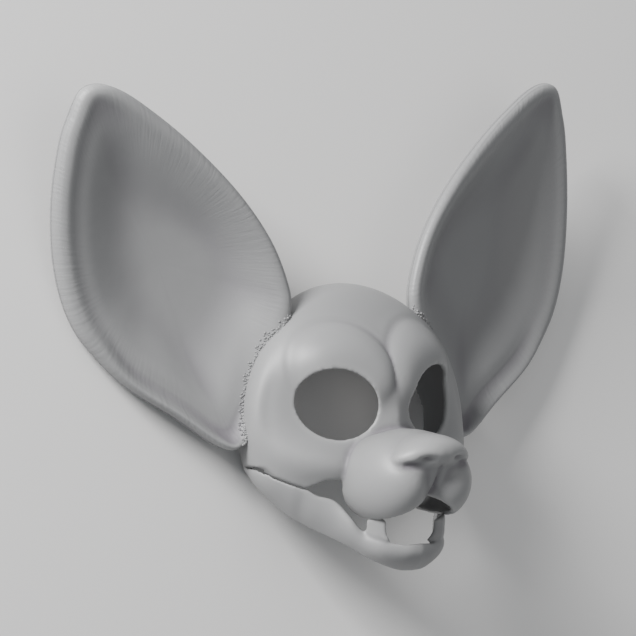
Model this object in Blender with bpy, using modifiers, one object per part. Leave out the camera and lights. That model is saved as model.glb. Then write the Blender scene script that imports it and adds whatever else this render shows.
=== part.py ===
"""A hard, hollow fox mask that lies on its back: face shell, muzzle, nose pad, two cupped ears, jaw and two fangs.

Every piece is modelled in the mask's own frame: X across the face, Y towards the crown and Z out of the
face. One empty tips that frame back until the flat rim behind the face lies on the ground.
"""
import math

import bmesh
import bpy
import numpy as np
from mathutils import Matrix, Vector

MM = 0.001
GAP = 0.3 * MM

# Face shell: an egg that is widest at the cheeks
FACE_HALF_WIDTH = 85 * MM
FACE_WALL = 3.6 * MM
CHEEK_LINE = -70 * MM
CROWN_RISE = 94 * MM
CROWN_SETBACK = 17 * MM
CHIN_DROP = 84 * MM
SIDE_LINE = 37 * MM
FACE_FRONT = 49 * MM
FACE_BACK = 56 * MM
TEMPLE_LEVEL = -54 * MM
TEMPLE_HALF_LENGTH = 46 * MM
TEMPLE_RISE = 8 * MM

# Eye holes
EYE_OUT = 38.5 * MM
EYE_LEVEL = -52 * MM
EYE_HALF_WIDTH = 27.8 * MM
EYE_HALF_HEIGHT = 23 * MM
EYE_TURN = math.radians(25)
EYE_ROLL = math.radians(12)

# Mouth corners, where the face's lower edge leaves the jaw
MOUTH_CORNER_OUT = 58 * MM
MOUTH_TOP = -101 * MM
MOUTH_TOP_OUT = 48 * MM

# Muzzle and nose
MUZZLE_HALF_WIDTH = 40 * MM
MUZZLE_HALF_HEIGHT = 29 * MM
MUZZLE_HALF_DEPTH = 41 * MM
MUZZLE_LEVEL = -97 * MM
MUZZLE_DEPTH = 93.5 * MM
MUZZLE_BACK = 75 * MM
MUZZLE_WALL = 3.6 * MM
MUZZLE_BLEND = 7 * MM
LIP_LEVEL = -110 * MM
LIP_FALL = 0.65
LIP_ROUNDING = 4 * MM
NOSE_HALF_WIDTH = 31 * MM
NOSE_HALF_HEIGHT = 12.5 * MM
NOSE_HALF_DEPTH = 25 * MM
NOSE_LEVEL = -82 * MM
NOSE_DEPTH = 116 * MM
NOSTRIL_OUT = 16 * MM
NOSTRIL_RADIUS = 4 * MM

# Ears
EAR_OUT = 130 * MM
EAR_LEVEL = 40 * MM
EAR_HALF_WIDTH = 80 * MM
EAR_HALF_HEIGHT = 120 * MM
EAR_WALL = 4 * MM
EAR_RIM_RADIUS = 6.5 * MM
EAR_CUP = 17 * MM
EAR_PLANE = 12.5 * MM
EAR_LEAN = 0.228
EAR_BOW = 7 * MM

# Jaw and fangs
JAW_HALF_WIDTH = 79 * MM
JAW_WALL = 4 * MM
JAW_DROP = 67.5 * MM
JAW_REACH = 93 * MM
JAW_LEVEL = -92 * MM
JAW_REAR = 23.5 * MM
JAW_BULGE = 3.5 * MM
FANG_OUT = 26 * MM
FANG_RADIUS = 5 * MM
FANG_LEAN = math.radians(8)

# How far the mask tips back to lie flat on its rim
REST_TILT = math.radians(12)
RIM_LEVEL = -8.3 * MM

COLLECTION = "fox_mask"
GREY = (0.33, 0.33, 0.33, 1.0)

# Raised and sunken strokes of the face, as shares of its half width: where each is, how far it spreads
# across and along, how it is turned, how sharp its edge is, and how high it stands
FACE_STROKES = [
    # name          out    up     across  along  turn  edge  height
    ("socket",      0.60,  0.17,  0.46,   0.34,  0,    2.5,  -0.145),
    ("brow",        0.36,  0.48,  0.36,   0.33,  0,    5,    0.080),
    ("bridge",      0.00,  0.10,  0.14,   0.45,  0,    2,    0.030),
    ("cheekbone",   0.58,  -0.24, 0.32,   0.14,  14,   2,    0.050),
]

# The muzzle's rounded forms, as shares of its half sizes: where each is and how large
MUZZLE_FORMS = [
    # name          out    up     ahead  across  high   deep
    ("lobe",        0.48,  -0.14, 0.00,  0.52,   0.98,  0.96),
    ("lobe",        -0.48, -0.14, 0.00,  0.52,   0.98,  0.96),
    ("top",         0.00,  0.33,  0.08,  0.78,   0.67,  0.90),
    ("lip_post",    0.00,  -0.02, 0.14,  0.34,   0.55,  0.92),
]

# Ear outline, going round from the tip, as shares of its half sizes
EAR_OUTLINE = [
    # across  up
    (0.67,   0.970),
    (0.79,   0.93),
    (0.87,   0.80),
    (0.93,   0.66),
    (0.98,   0.39),
    (0.98,   0.12),
    (0.93,   -0.12),
    (0.82,   -0.33),
    (0.65,   -0.49),
    (0.39,   -0.665),
    (-0.01,  -0.84),
    (-0.36,  -1.00),
    (-0.54,  -1.00),
    (-0.72,  -0.82),
    (-0.92,  -0.50),
    (-1.02,  -0.28),
    (-1.00,  -0.12),
    (-0.85,  0.125),
    (-0.56,  0.39),
    (-0.14,  0.66),
    (0.26,   0.86),
    (0.50,   0.95),
]

# Jaw sections from the rear tip to the chin, as shares of its half width, drop and reach
JAW_SECTIONS = [
    # top edge               bottom edge
    # out    drop    ahead   out     drop    ahead   bulge
    (1.000,  0.014,  0.010,  1.000,  0.043,  -0.010, 0.1),
    (0.994,  0.043,  0.143,  0.950,  0.214,  0.071,  0.4),
    (0.950,  0.093,  0.276,  0.875,  0.357,  0.163,  0.7),
    (0.838,  0.164,  0.388,  0.775,  0.500,  0.276,  0.8),
    (0.738,  0.215,  0.440,  0.713,  0.557,  0.337,  0.9),
    (0.665,  0.285,  0.485,  0.650,  0.614,  0.398,  1.0),
    (0.550,  0.335,  0.556,  0.525,  0.714,  0.536,  1.0),
    (0.469,  0.494,  0.662,  0.425,  0.800,  0.633,  1.0),
    (0.388,  0.629,  0.724,  0.338,  0.886,  0.714,  1.0),
    (0.300,  0.700,  0.857,  0.225,  0.957,  0.786,  1.2),
    (0.150,  0.743,  0.930,  0.113,  1.000,  0.825,  1.4),
    (0.000,  0.735,  0.965,  0.000,  1.010,  0.840,  1.4),
]
JAW_RINGS = 28

# Sides and rings of the spheres that become the face and the muzzle, and of the blocks cut to fit them
FACE_MESH = (50, 30)
MUZZLE_MESH = (32, 20)


def clear_scene():
    for obj in list(bpy.data.objects):
        bpy.data.objects.remove(obj, do_unlink=True)


def make_collection(name):
    collection = bpy.data.collections.new(name)
    bpy.context.scene.collection.children.link(collection)
    return collection


def grey_material(name, roughness):
    material = bpy.data.materials.new(name)
    material.use_nodes = True
    shader = material.node_tree.nodes["Principled BSDF"]
    shader.inputs["Base Color"].default_value = GREY
    shader.inputs["Roughness"].default_value = roughness
    shader.inputs["Metallic"].default_value = 0.0
    return material


def smooth_spline(points, count, closed):
    """Catmull-Rom curve through the points, sampled evenly by index."""
    points = np.asarray(points, float)
    total = len(points) if closed else len(points) - 1
    places = np.linspace(0, total, count, endpoint=not closed)
    first = np.minimum(places.astype(int), total - 1)
    share = (places - first)[:, None]
    if closed:
        rows = [points[(first + shift) % len(points)] for shift in (-1, 0, 1, 2)]
    else:
        padded = np.vstack([2 * points[0] - points[1], points, 2 * points[-1] - points[-2]])
        rows = [padded[first + shift] for shift in (0, 1, 2, 3)]
    before, start, end, after = rows
    return start + 0.5 * share * (
        end - before
        + share * (2 * before - 5 * start + 4 * end - after + share * (3 * (start - end) + after - before))
    )


def smooth_step(value):
    value = np.clip(value, 0.0, 1.0)
    return value * value * (3 - 2 * value)


def smooth_max(values, softness):
    """The largest value, rounded over where two are within softness of each other."""
    result = values[0]
    for value in values[1:]:
        share = np.clip(0.5 + 0.5 * (value - result) / softness, 0.0, 1.0)
        result = result + (value - result) * share + softness * share * (1 - share)
    return result


def unit_sphere(segments, rings):
    """A UV sphere of radius 1 with its poles along Z."""
    bm = bmesh.new()
    bmesh.ops.create_uvsphere(bm, u_segments=segments, v_segments=rings, radius=1.0)
    return bm


def vertex_array(bm):
    return np.array([vertex.co[:] for vertex in bm.verts])


def set_vertices(bm, points):
    for vertex, point in zip(bm.verts, points):
        vertex.co = point


def cut_away(bm, point, normal):
    """Removes what lies on the normal's side of a plane."""
    geometry = bm.verts[:] + bm.edges[:] + bm.faces[:]
    bmesh.ops.bisect_plane(bm, geom=geometry, plane_co=point, plane_no=normal, clear_outer=True)


def add_object(name, bm, frame, collection, material=None):
    bmesh.ops.recalc_face_normals(bm, faces=bm.faces[:])
    mesh = bpy.data.meshes.new(name)
    bm.to_mesh(mesh)
    bm.free()
    obj = bpy.data.objects.new(name, mesh)
    obj.parent = frame
    collection.objects.link(obj)
    if material:
        mesh.materials.append(material)
        mesh.shade_smooth()
    else:
        obj.hide_render = True
        obj.display_type = "WIRE"
    return obj


def add_wall(obj, thickness):
    """Gives an open surface its wall, inwards."""
    solidify = obj.modifiers.new("wall", "SOLIDIFY")
    solidify.thickness = thickness
    solidify.offset = -1.0
    solidify.use_even_offset = True


def cut_with(obj, cutter):
    boolean = obj.modifiers.new(cutter.name, "BOOLEAN")
    boolean.operation = "DIFFERENCE"
    boolean.solver = "EXACT"
    boolean.object = cutter


def crown_share(rise):
    """How wide the face is at a height, as a share of its half width."""
    reach = np.where(rise >= 0, CROWN_RISE, CHIN_DROP)
    return np.sqrt(np.maximum(1 - (rise / reach) ** 2, 1e-9))


def side_depth(rise):
    """Z of the widest line round the face, which lies further back towards the crown."""
    return SIDE_LINE - CROWN_SETBACK * np.clip(rise / CROWN_RISE, 0, 1) ** 2


def face_relief(x, y):
    """Height of the brows, sockets, bridge and cheekbones over the plain egg."""
    relief = np.zeros_like(x)
    for _name, out, up, across, along, turn, edge, height in FACE_STROKES:
        angle = math.radians(turn)
        right = np.abs(x) / FACE_HALF_WIDTH - out
        rise = (y - CHEEK_LINE) / FACE_HALF_WIDTH - up
        down_stroke = math.cos(angle) * right + math.sin(angle) * rise
        off_stroke = math.cos(angle) * rise - math.sin(angle) * right
        away = np.hypot(down_stroke / across, off_stroke / along)
        relief += height * np.exp(-away ** edge)
    return relief * FACE_HALF_WIDTH


def face_points(directions, grow=0.0):
    """The face's outer surface for unit directions, pushed out by grow."""
    across, rise, front = directions.T
    level = np.where(rise >= 0, CROWN_RISE, CHIN_DROP) * rise
    ring = np.sqrt(np.maximum(1 - rise ** 2, 1e-12))
    share = crown_share(level)
    x = (FACE_HALF_WIDTH * share + grow) * across / ring
    y = CHEEK_LINE + level + grow * rise
    depth = np.where(front >= 0, FACE_FRONT, FACE_BACK)
    z = side_depth(level) + (depth * share + grow) * front / ring
    z = z + face_relief(x, y) * smooth_step(front / ring * 2.2)
    return np.column_stack([x, y, z])


def face_depth(x, y):
    """Z of the front of the face at a place across and up it."""
    rise = y - CHEEK_LINE
    share = crown_share(rise)
    inside = np.sqrt(np.maximum(share ** 2 - (x / FACE_HALF_WIDTH) ** 2, 1e-6))
    return side_depth(rise) + FACE_FRONT * inside + face_relief(x, y) * smooth_step(inside / share * 2.2)


def rest_plane():
    """A point on the plane that the mask lies on, and the plane's normal, away from the mask."""
    point = Vector((0, 0, RIM_LEVEL))
    normal = Vector((0, -math.sin(REST_TILT), -math.cos(REST_TILT)))
    return point, normal


def face_block(name, frame, cutters, grow):
    """The face's whole volume, which other pieces are cut back to."""
    bm = unit_sphere(*FACE_MESH)
    set_vertices(bm, face_points(vertex_array(bm), grow))
    return add_object(name, bm, frame, cutters)


def eye_cutter(side, frame, cutters):
    bm = bmesh.new()
    bmesh.ops.create_cone(bm, cap_ends=True, segments=40, radius1=1, radius2=1, depth=1)
    reach = 70 * MM
    bmesh.ops.transform(bm, verts=bm.verts, matrix=Matrix.Diagonal((EYE_HALF_WIDTH, EYE_HALF_HEIGHT, reach, 1)))
    turn = Matrix.Rotation(side * EYE_TURN, 4, "Y") @ Matrix.Rotation(side * EYE_ROLL, 4, "Z")
    middle = face_depth(np.array([EYE_OUT]), np.array([EYE_LEVEL]))[0]
    place = Matrix.Translation((side * EYE_OUT, EYE_LEVEL, middle))
    bmesh.ops.transform(bm, verts=bm.verts, matrix=place @ turn)
    return add_object(f"eye_cutter_{'left' if side > 0 else 'right'}", bm, frame, cutters)


def jaw_sections():
    """The jaw's smooth run of sections, in metres: top edge, bottom edge and bulge of each."""
    size = np.array([JAW_HALF_WIDTH, -JAW_DROP, JAW_REACH])
    base = np.array([0, JAW_LEVEL, JAW_REAR])
    rows = smooth_spline(JAW_SECTIONS, JAW_RINGS, False)
    return rows[:, 0:3] * size + base, rows[:, 3:6] * size + base, rows[:, 6] * JAW_BULGE


def seam_points():
    """The left half of the face's lower edge: over the mouth, then along the jaw's top to its rear tip."""
    tops = jaw_sections()[0][::-1]
    along_jaw = (tops[:, 0] > MOUTH_CORNER_OUT + JAW_WALL) & (tops[:, 0] < JAW_HALF_WIDTH - JAW_WALL)
    along_jaw[-1] = True
    return np.vstack([(MOUTH_TOP_OUT, MOUTH_TOP), tops[along_jaw, :2]])


def seam_level(x):
    return np.interp(np.abs(x), *seam_points().T)


def upright_cutter(name, outline, low, high, frame, cutters):
    """A cutter with the given outline across and up the face, from one depth to another."""
    bm = bmesh.new()
    bm.faces.new([bm.verts.new((x, y, low)) for x, y in outline])
    cutter = add_object(name, bm, frame, cutters)
    turned_back = cutter.data.polygons[0].normal.z < 0
    add_wall(cutter, high - low)
    cutter.modifiers["wall"].offset = -1 if turned_back else 1
    return cutter


def mouth_cutter(frame, cutters):
    """Removes the face below its lower edge."""
    reach = 2 * FACE_HALF_WIDTH
    points = seam_points()
    edge = np.vstack([points, (reach, points[-1, 1]), (reach, CHEEK_LINE - reach)])
    outline = np.vstack([edge[::-1] * (-1, 1), edge])
    return upright_cutter("mouth_cutter", outline[::-1], -reach, reach, frame, cutters)


def rest_matrix(level, depth):
    """Turns a shape square to the rest plane and moves it to a level on the face, so far below the plane."""
    turn = Matrix.Rotation(-REST_TILT, 4, "X")
    height = RIM_LEVEL - level * math.tan(REST_TILT)
    return Matrix.Translation((0, level, height)) @ turn @ Matrix.Translation((0, 0, -depth))


def rest_cutter(frame, cutters):
    """A block under the rest plane, which leaves the rim flat."""
    reach = 4 * FACE_HALF_WIDTH
    bm = bmesh.new()
    bmesh.ops.create_cube(bm, size=reach)
    bmesh.ops.transform(bm, verts=bm.verts, matrix=rest_matrix(0, reach / 2))
    return add_object("rest_cutter", bm, frame, cutters)


def temple_cutter(frame, cutters):
    """Scoops the rim beside both eyes."""
    bm = bmesh.new()
    bmesh.ops.create_cone(bm, cap_ends=True, segments=32, radius1=1, radius2=1, depth=1)
    size = Matrix.Diagonal((2 * TEMPLE_RISE, TEMPLE_HALF_LENGTH, 4 * FACE_HALF_WIDTH, 1))
    crosswise = Matrix.Rotation(math.radians(90), 4, "Y")
    bmesh.ops.transform(bm, verts=bm.verts, matrix=rest_matrix(TEMPLE_LEVEL, TEMPLE_RISE) @ crosswise @ size)
    return add_object("temple_cutter", bm, frame, cutters)


def make_face(frame, parts, cutters, material):
    bm = unit_sphere(*FACE_MESH)
    set_vertices(bm, face_points(vertex_array(bm)))
    point, normal = rest_plane()
    cut_away(bm, point + 2 * FACE_WALL * normal, normal)
    face = add_object("face_shell", bm, frame, parts, material)
    add_wall(face, FACE_WALL)
    cut_with(face, rest_cutter(frame, cutters))
    cut_with(face, temple_cutter(frame, cutters))
    for side in (-1, 1):
        cut_with(face, eye_cutter(side, frame, cutters))
    cut_with(face, mouth_cutter(frame, cutters))
    cut_with(face, muzzle_block("snout_cutter", frame, cutters, -MUZZLE_WALL - 1.5 * MM))
    return face


def ellipsoid_reach(directions, start, centre, radii):
    """Distance from start to an ellipsoid's far wall along each direction."""
    offset = (np.array(start) - np.array(centre)) / np.array(radii)
    scaled = directions / np.array(radii)
    square = (scaled ** 2).sum(axis=1)
    mixed = scaled @ offset
    rest = offset @ offset - 1
    return (-mixed + np.sqrt(np.maximum(mixed ** 2 - square * rest, 0))) / square


def muzzle_points(directions, grow=0.0):
    """The muzzle's outer surface, its forms run together, for directions from its middle."""
    half = np.array([MUZZLE_HALF_WIDTH, MUZZLE_HALF_HEIGHT, MUZZLE_HALF_DEPTH])
    middle = np.array([0, MUZZLE_LEVEL, MUZZLE_DEPTH])
    reaches = []
    for _name, *shares in MUZZLE_FORMS:
        centre = middle + half * np.array(shares[:3])
        reaches.append(ellipsoid_reach(directions, middle, centre, half * np.array(shares[3:])))
    return middle + directions * (smooth_max(reaches, MUZZLE_BLEND) + grow)[:, None]


def muzzle_block(name, frame, cutters, grow):
    """The muzzle's whole volume, pushed out by grow."""
    bm = unit_sphere(*MUZZLE_MESH)
    set_vertices(bm, muzzle_points(vertex_array(bm), grow))
    return add_object(name, bm, frame, cutters)


def lip_level(x):
    """Y of the muzzle's lower edge, an arch that falls away from the middle."""
    return LIP_LEVEL - LIP_FALL * (np.hypot(x, LIP_ROUNDING) - LIP_ROUNDING)


def lip_cutter(frame, cutters):
    """Opens the muzzle below its lip."""
    reach = 1.5 * MUZZLE_HALF_WIDTH
    outline = [(x, lip_level(x)) for x in np.linspace(-reach, reach, 16)]
    outline += [(reach, MUZZLE_LEVEL - 2 * reach), (-reach, MUZZLE_LEVEL - 2 * reach)]
    return upright_cutter("lip_cutter", outline, 0, MUZZLE_DEPTH + reach, frame, cutters)


def make_muzzle(frame, parts, cutters, material):
    """The snout, open behind and below its lip."""
    bm = unit_sphere(*MUZZLE_MESH)
    set_vertices(bm, muzzle_points(vertex_array(bm)))
    cut_away(bm, (0, MUZZLE_LEVEL, MUZZLE_BACK), (0, 0, -1))
    muzzle = add_object("muzzle", bm, frame, parts, material)
    add_wall(muzzle, MUZZLE_WALL)
    cut_with(muzzle, lip_cutter(frame, cutters))
    cut_with(muzzle, face_block("muzzle_seat", frame, cutters, GAP))
    return muzzle


def nostril_cutter(side, frame, cutters):
    bm = unit_sphere(14, 8)
    size = Matrix.Diagonal((1.5 * NOSTRIL_RADIUS, 0.8 * NOSTRIL_RADIUS, 2 * NOSTRIL_RADIUS, 1))
    turn = Matrix.Rotation(side * math.radians(35), 4, "Y") @ Matrix.Rotation(side * math.radians(-20), 4, "Z")
    place = Matrix.Translation((side * NOSTRIL_OUT, NOSE_LEVEL, NOSE_DEPTH + 0.9 * NOSE_HALF_DEPTH))
    bmesh.ops.transform(bm, verts=bm.verts, matrix=place @ turn @ size)
    return add_object(f"nostril_cutter_{'left' if side > 0 else 'right'}", bm, frame, cutters)


def make_nose(frame, parts, cutters, material):
    bm = unit_sphere(22, 12)
    size = np.array([NOSE_HALF_WIDTH, NOSE_HALF_HEIGHT, NOSE_HALF_DEPTH])
    set_vertices(bm, vertex_array(bm) * size + np.array([0, NOSE_LEVEL, NOSE_DEPTH]))
    nose = add_object("nose_pad", bm, frame, parts, material)
    cut_with(nose, muzzle_block("nose_seat", frame, cutters, GAP))
    for side in (-1, 1):
        cut_with(nose, nostril_cutter(side, frame, cutters))
    return nose


def ear_plane_depth(x, y):
    """Z of the leaning, slightly bowed surface that the ear's rim lies on."""
    bow = EAR_BOW * ((y - EAR_LEVEL) / EAR_HALF_HEIGHT) ** 2
    return EAR_PLANE - EAR_LEAN * (x - EAR_OUT) + bow


def ear_outline(places):
    """Points of the ear's outline at shares of the way round it, evenly spaced."""
    outline = smooth_spline(EAR_OUTLINE, 360, True) * np.array([EAR_HALF_WIDTH, EAR_HALF_HEIGHT])
    loop = np.vstack([outline, outline[:1]])
    steps = np.hypot(*np.diff(loop, axis=0).T)
    passed = np.concatenate([[0], np.cumsum(steps)])
    passed /= passed[-1]
    return np.column_stack([np.interp(places, passed, loop[:, axis]) for axis in (0, 1)])


def ear_points(directions):
    """The left ear's surface: the sphere's front becomes the cup and its back the wall behind it."""
    turn = np.arctan2(directions[:, 1], directions[:, 0]) / (2 * math.pi) % 1
    edge_points = ear_outline(1 - turn)
    reach = np.hypot(*edge_points.T)
    share = np.hypot(directions[:, 0], directions[:, 1])
    depth_in = reach * (1 - share)
    x = EAR_OUT + edge_points[:, 0] * share
    y = EAR_LEVEL + edge_points[:, 1] * share
    rim = EAR_RIM_RADIUS
    round_over = np.sqrt(np.clip(1 - (1 - depth_in / rim) ** 2, 0, 1)) * rim
    edge = np.where(depth_in < rim, round_over, rim)
    cup_run = reach * 0.72
    sink = EAR_CUP * smooth_step((depth_in - 0.6 * rim) / cup_run)
    thin = (rim * 2 - EAR_WALL) * smooth_step((depth_in - rim) / (2.5 * rim))
    face = ear_plane_depth(x, y) - sink
    front = directions[:, 2] >= 0
    z = np.where(front, face + edge, face - edge + thin)
    return np.column_stack([x, y, z])


def make_ear(side, frame, parts, cutters, material, seat):
    name = "ear_left" if side > 0 else "ear_right"
    bm = unit_sphere(44, 20)
    points = ear_points(vertex_array(bm))
    points[:, 0] *= side
    set_vertices(bm, points)
    ear = add_object(name, bm, frame, parts, material)
    cut_with(ear, seat)
    return ear


def make_jaw(frame, parts, cutters, material):
    """Half of the jaw, lofted through its sections and mirrored."""
    tops, bottoms, bulges = jaw_sections()
    along = np.gradient((tops + bottoms) / 2, axis=0) * np.array([1, 0, 1])
    along[-1] = (-1, 0, 0)
    along /= np.linalg.norm(along, axis=1)[:, None]
    outwards = np.column_stack([along[:, 2], np.zeros(len(along)), -along[:, 0]])
    heights = np.linspace(0, 1, 7)
    bm = bmesh.new()
    loops = []
    for top, bottom, bulge, outward in zip(tops, bottoms, bulges, outwards):
        outer = [top + (bottom - top) * h + outward * bulge * 4 * h * (1 - h) for h in heights]
        inner = [point - outward * JAW_WALL for point in outer[::-1]]
        loop = np.array(outer + inner)
        loop[:, 0] = np.maximum(loop[:, 0], 0)
        loop[:, 1] = np.minimum(loop[:, 1], seam_level(loop[:, 0]) - 2 * GAP)
        loops.append([bm.verts.new(point) for point in loop])
    for first, second in zip(loops, loops[1:]):
        for i in range(len(first)):
            j = (i + 1) % len(first)
            bm.faces.new((first[i], first[j], second[j], second[i]))
    bm.faces.new(loops[0][::-1])
    jaw = add_object("jaw", bm, frame, parts, material)
    mirror = jaw.modifiers.new("both_sides", "MIRROR")
    mirror.use_clip = True
    mirror.merge_threshold = 0.0001
    return jaw


def make_fang(side, frame, parts, cutters, material):
    """A fang from the jaw's sloping top up to the muzzle's lip."""
    tops = jaw_sections()[0][::-1]
    inner, middle, outer = (
        Vector([np.interp(FANG_OUT + shift, tops[:, 0], tops[:, axis]) for axis in range(3)])
        for shift in (-FANG_RADIUS, 0, FANG_RADIUS)
    )
    along = outer - inner
    inwards = Vector((along.z, 0, -along.x)).normalized()
    slope = inwards.cross(along).normalized()
    foot = middle + inwards * JAW_WALL / 2
    lip = lip_level(FANG_OUT + 0.7 * FANG_RADIUS) - GAP
    sunk = 2 * FANG_RADIUS
    length = (lip - foot.y) / math.cos(FANG_LEAN) + sunk
    bm = bmesh.new()
    bmesh.ops.create_cone(
        bm, cap_ends=True, segments=14, radius1=FANG_RADIUS, radius2=0.7 * FANG_RADIUS, depth=length
    )
    stand = Matrix.Rotation(math.radians(-90), 4, "X") @ Matrix.Translation((0, 0, length / 2 - sunk))
    lean = Matrix.Rotation(-FANG_LEAN, 4, "X")
    bmesh.ops.transform(bm, verts=bm.verts, matrix=Matrix.Translation(foot) @ lean @ stand)
    cut_away(bm, foot - 3 * GAP * slope, slope)
    bmesh.ops.contextual_create(bm, geom=[edge for edge in bm.edges if edge.is_boundary])
    bmesh.ops.transform(bm, verts=bm.verts, matrix=Matrix.Diagonal((side, 1, 1, 1)))
    return add_object("fang_left" if side > 0 else "fang_right", bm, frame, parts, material)


def stand_on_floor(frame, pieces):
    """Moves the frame until the pieces stand on Z = 0 with the middle of their box on the Z axis."""
    bpy.context.view_layer.update()
    graph = bpy.context.evaluated_depsgraph_get()
    corners = []
    for piece in pieces:
        evaluated = piece.evaluated_get(graph)
        mesh = evaluated.to_mesh()
        points = np.empty(len(mesh.vertices) * 3)
        mesh.vertices.foreach_get("co", points)
        matrix = np.array(piece.matrix_world)
        points = points.reshape(-1, 3) @ matrix[:3, :3].T + matrix[:3, 3]
        corners += [points.min(axis=0), points.max(axis=0)]
        evaluated.to_mesh_clear()
    low = np.min(corners, axis=0)
    high = np.max(corners, axis=0)
    frame.location = Vector((0, -(low[1] + high[1]) / 2, -low[2]))


def main():
    clear_scene()
    parts = make_collection(COLLECTION)
    cutters = make_collection("cutters")
    frame = bpy.data.objects.new("mask_frame", None)
    frame.rotation_euler = (REST_TILT, 0, 0)
    parts.objects.link(frame)
    satin = grey_material("satin_grey", 0.48)
    pad = grey_material("nose_grey", 0.42)
    pieces = [
        make_face(frame, parts, cutters, satin),
        make_muzzle(frame, parts, cutters, satin),
        make_nose(frame, parts, cutters, pad),
        make_jaw(frame, parts, cutters, satin),
    ]
    seat = face_block("ear_seat", frame, cutters, GAP)
    for side in (-1, 1):
        pieces.append(make_ear(side, frame, parts, cutters, satin, seat))
        pieces.append(make_fang(side, frame, parts, cutters, satin))
    stand_on_floor(frame, pieces)


main()
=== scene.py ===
"""Dresses the fox mask: one smooth grey casting with sculpted brows, snout and jaw, and two large cupped ears.

Shapes are worked out in the mask's own frame, X across the face, Y towards the crown and Z out of the
face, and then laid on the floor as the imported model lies.
"""
import math

import bmesh
import bpy
import numpy as np
from mathutils import Matrix, Vector


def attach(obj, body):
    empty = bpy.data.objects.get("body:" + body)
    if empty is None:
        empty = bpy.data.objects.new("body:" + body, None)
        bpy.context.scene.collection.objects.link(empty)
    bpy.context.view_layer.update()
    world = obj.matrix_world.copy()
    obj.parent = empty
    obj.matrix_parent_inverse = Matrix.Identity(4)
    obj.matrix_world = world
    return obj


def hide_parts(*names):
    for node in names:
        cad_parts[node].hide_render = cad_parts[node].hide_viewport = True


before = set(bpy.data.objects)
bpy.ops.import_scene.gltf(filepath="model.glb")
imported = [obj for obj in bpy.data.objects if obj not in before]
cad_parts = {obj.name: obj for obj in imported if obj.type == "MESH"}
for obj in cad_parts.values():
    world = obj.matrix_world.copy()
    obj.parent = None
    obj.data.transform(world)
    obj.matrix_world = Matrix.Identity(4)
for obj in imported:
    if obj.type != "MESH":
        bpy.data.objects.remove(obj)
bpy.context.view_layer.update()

MM = 0.001

# How the mask lies: tipped back on its rim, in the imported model's frame
REST_TILT = math.radians(12)
MASK_SHIFT = Vector((0, 13.2 * MM, 8.12 * MM))
MASK_FRAME = Matrix.Translation(MASK_SHIFT) @ Matrix.Rotation(REST_TILT, 4, "X")

# Face shell
FACE_HALF_WIDTH = 85 * MM
FACE_WALL = 3.6 * MM
CHEEK_LINE = -70 * MM
CROWN_RISE = 94 * MM
CROWN_SETBACK = 17 * MM
CHIN_DROP = 84 * MM
SIDE_LINE = 37 * MM
FACE_FRONT = 49 * MM
FACE_BACK = 56 * MM
RIM_LEVEL = -8.3 * MM
TEMPLE_LEVEL = -54 * MM
TEMPLE_HALF_LENGTH = 46 * MM
TEMPLE_RISE = 8 * MM

BROW_CREASE = 0.022

# Eye holes and mouth corners
EYE_OUT = 38.5 * MM
EYE_LEVEL = -52 * MM
EYE_HALF_WIDTH = 27.8 * MM
EYE_HALF_HEIGHT = 23 * MM
EYE_TURN = math.radians(25)
EYE_ROLL = math.radians(12)
MOUTH_CORNER_OUT = 58 * MM
MOUTH_TOP = -101 * MM
MOUTH_TOP_OUT = 48 * MM

# Muzzle and nose
MUZZLE_HALF = np.array([40, 29, 41]) * MM
MUZZLE_MIDDLE = np.array([0, -97, 93.5]) * MM
MUZZLE_BACK = 70 * MM
MUZZLE_WALL = 3.6 * MM
MUZZLE_BLEND = 6 * MM
LIP_LEVEL = -110 * MM
LIP_FALL = 0.65
LIP_ROUNDING = 4 * MM
NOSE_HALF = np.array([30, 12.5, 24]) * MM
NOSE_MIDDLE = np.array([0, -82, 116.5]) * MM

# Ears
EAR_TRIM = 0.998
EAR_OUT = 130 * MM
EAR_LEVEL = 40 * MM
EAR_HALF_WIDTH = 80 * MM
EAR_HALF_HEIGHT = 120 * MM
EAR_WALL = 4.2 * MM
EAR_EDGE_RADIUS = 6.5 * MM
EAR_CUP = 20 * MM
EAR_PLANE = 12.5 * MM
EAR_LEAN = 0.228
EAR_BOW = 7 * MM

# Jaw and fangs
JAW_HALF_WIDTH = 79 * MM
JAW_WALL = 4 * MM
JAW_DROP = 67.5 * MM
JAW_REACH = 93 * MM
JAW_LEVEL = -92 * MM
JAW_REAR = 23.5 * MM
JAW_BULGE = 3.5 * MM
FANG_OUT = 26 * MM
FANG_RADIUS = 5 * MM

# The photograph's viewpoint
VIEW_TURN = math.radians(35)
VIEW_RISE = math.radians(3)
VIEW_DISTANCE = 3.07
VIEW_PIXELS_PER_METRE = 1500.0
VIEW_MIDDLE_PIXEL = 322.2
FRAME_PIXELS = 636
SENSOR = 36.0

FACE_STROKES = [
    # name          out    up     across  along  turn  edge  height
    ("socket",      0.60,  0.17,  0.46,   0.34,  0,    2.5,  -0.145),
    ("brow",        0.36,  0.48,  0.36,   0.33,  0,    5,    0.095),
    ("bridge",      0.00,  0.10,  0.14,   0.45,  0,    2,    0.030),
    ("cheekbone",   0.58,  -0.24, 0.32,   0.14,  14,   2,    0.050),
]

MUZZLE_FORMS = [
    # name          out    up     ahead  across  high   deep
    ("lobe",        0.44,  -0.14, 0.00,  0.56,   0.98,  0.96),
    ("lobe",        -0.44, -0.14, 0.00,  0.56,   0.98,  0.96),
    ("top",         0.00,  0.33,  0.08,  0.78,   0.67,  0.90),
    ("lip_post",    0.00,  -0.02, 0.06,  0.34,   0.55,  0.81),
]

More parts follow.
